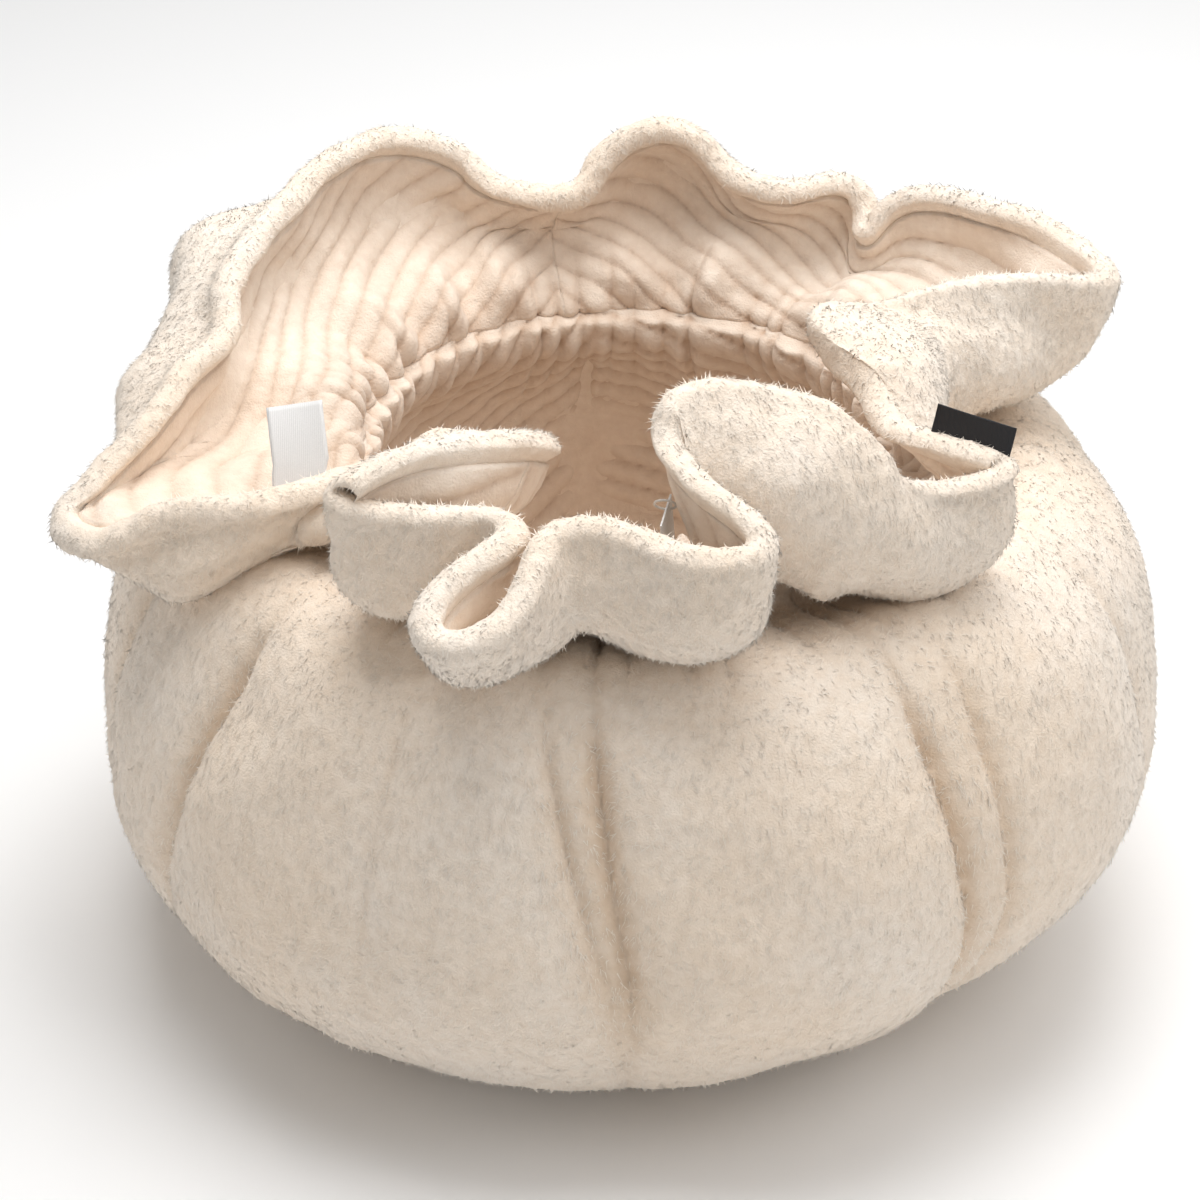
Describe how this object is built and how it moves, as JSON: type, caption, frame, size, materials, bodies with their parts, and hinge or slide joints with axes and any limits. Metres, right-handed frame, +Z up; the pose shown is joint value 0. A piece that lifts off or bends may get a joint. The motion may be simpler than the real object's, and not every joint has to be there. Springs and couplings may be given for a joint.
{
  "type": "pet cushion bed",
  "caption": "Round plush pet bed with a filled ring, a gathered neck around a bowl, and a wide ruffled collar.",
  "frame": {"origin": "centre of the base cloth's underside, on the surface that the bed stands on", "axes": "+Z up along the bed's axis, -Y the front, where the hang tag and the front flap are, +X to the right seen from the front"},
  "size_m": [0.56, 0.56, 0.3933],
  "materials": {
    "cream_plush": "soft short pile",
    "beige_plush": "ribbed short pile",
    "fibre_fill": "matte loose fibre",
    "base_cloth": "matte woven",
    "elastic_band": "matte woven",
    "black_ribbon": "satin woven",
    "white_satin": "satin",
    "tag_card": "matte card",
    "clear_nylon": "satin thread"
  },
  "bodies": {
    "bed": {"base_cloth": "base_cloth", "outer_cover": "cream_plush", "ring_fill": "fibre_fill", "floor_fill": "fibre_fill", "bowl_floor": "beige_plush", "bowl_panel_1": "beige_plush", "bowl_panel_2": "beige_plush", "bowl_panel_3": "beige_plush", "bowl_panel_4": "beige_plush", "neck_elastic": "elastic_band", "collar_outer": "cream_plush", "collar_lining": "beige_plush", "hang_tag_loop": "clear_nylon"},
    "brand_label_flap": {"brand_label": "black_ribbon"},
    "care_label_flap": {"care_label": "white_satin"},
    "hang_tag_card": {"hang_tag": "tag_card"}
  },
  "joints": [
    {"name": "brand_label_bend", "type": "hinge", "parent": "bed", "child": "brand_label_flap", "pos_m": [0.15905, -0.12506, 0.33848], "axis": [0.8991, -0.4248, -0.1051], "range_deg": [-45, 75]},
    {"name": "care_label_bend", "type": "hinge", "parent": "bed", "child": "care_label_flap", "pos_m": [-0.16059, -0.09458, 0.29582], "axis": [-0.8639, -0.2118, -0.4569], "range_deg": [-40, 50]},
    {"name": "hang_tag_swing", "type": "hinge", "parent": "bed", "child": "hang_tag_card", "pos_m": [0.01581, -0.19462, 0.3496], "axis": [-0.1015, -0.7994, -0.5922], "range_deg": [-20, 15]}
  ]
}
